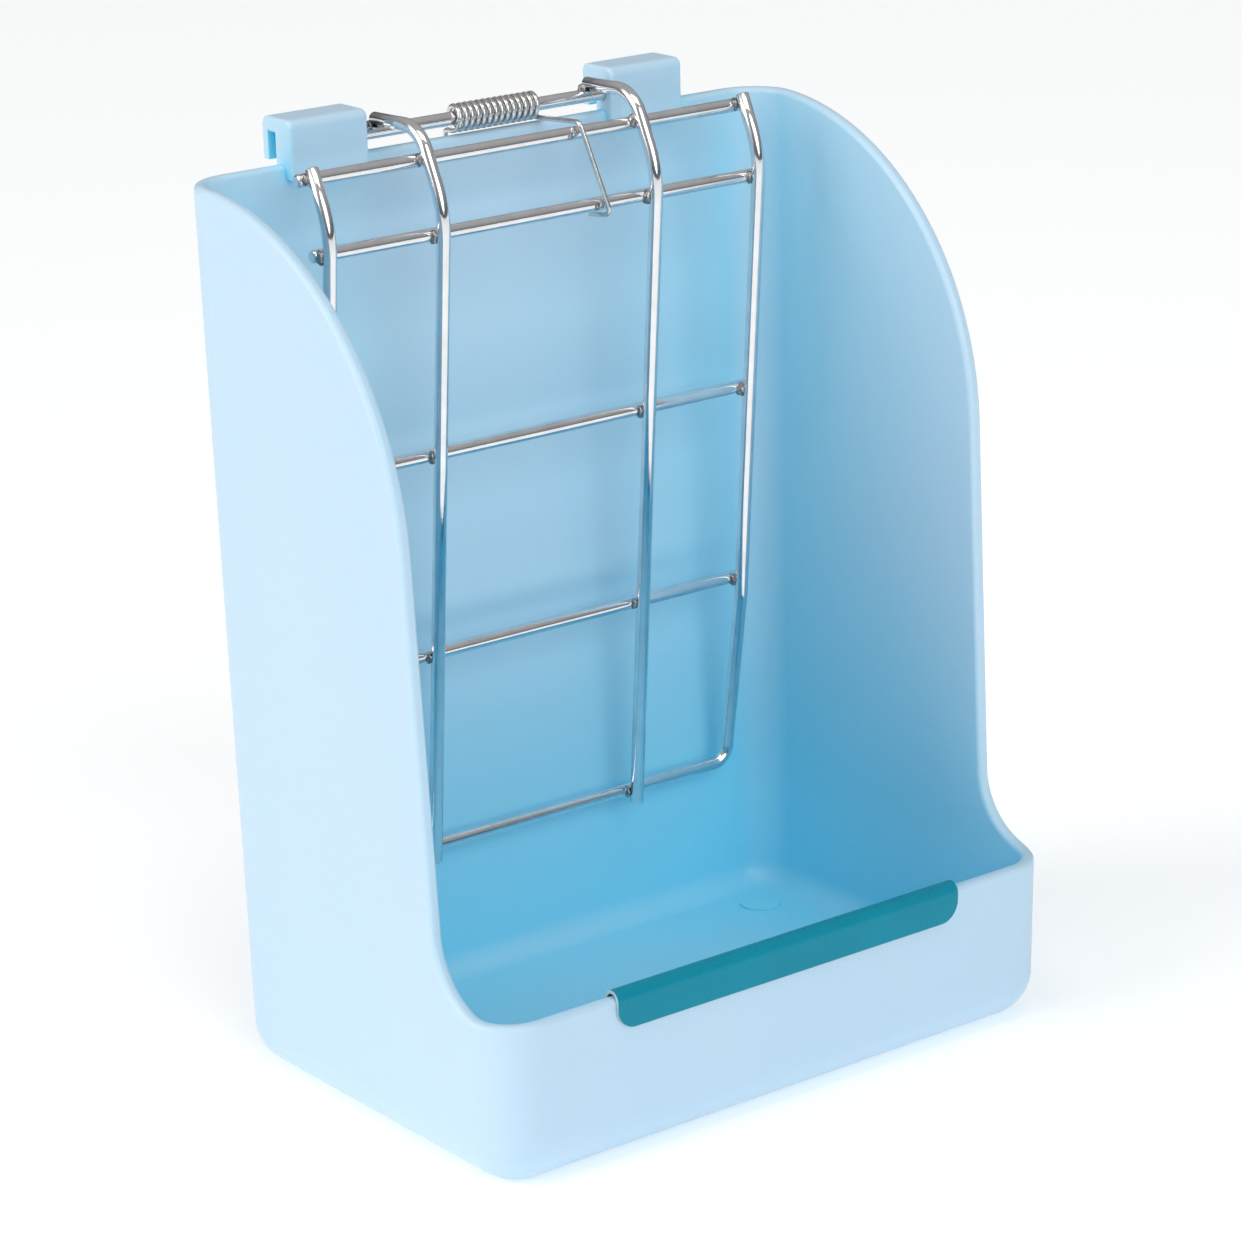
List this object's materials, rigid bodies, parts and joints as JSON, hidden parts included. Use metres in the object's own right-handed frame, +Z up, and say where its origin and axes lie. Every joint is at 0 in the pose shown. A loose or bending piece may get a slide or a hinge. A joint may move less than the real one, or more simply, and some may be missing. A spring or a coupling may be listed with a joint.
{
  "type": "rabbit hay feeder",
  "caption": "Cage-hung hay feeder: moulded trough with high back and cheeks, hooks, sprung swinging wire grille and a sheet guard on the lip.",
  "frame": {"origin": "centre of the tub's flat base", "axes": "+X to the feeder's right seen from the front, +Y to its back (the cage side), +Z up the back wall"},
  "size_m": [0.17, 0.118, 0.2228],
  "materials": {
    "tub_plastic": "semi-gloss moulded polypropylene, pale blue",
    "guard": "smooth teal coating on folded sheet",
    "wire": "bright chrome-plated steel wire",
    "spring": "bright drawn spring steel"
  },
  "bodies": {
    "root": {"tub": "tub_plastic", "lip_guard": "guard", "torsion_spring": "spring"},
    "grille": {"hinge_bar": "wire", "cross_bar_1": "wire", "cross_bar_2": "wire", "cross_bar_3": "wire", "cross_bar_4": "wire", "outer_frame": "wire", "inner_rod_left": "wire", "inner_rod_right": "wire"}
  },
  "joints": [
    {"name": "grille_hinge", "type": "hinge", "parent": "root", "child": "grille", "pos_m": [0, 0.0548, 0.2164], "axis": [-1, 0, 0], "range_deg": [0, 95], "stiffness_Nm_per_rad": 0.085, "springref_deg": -34.38, "deforming": ["torsion_spring"]}
  ]
}
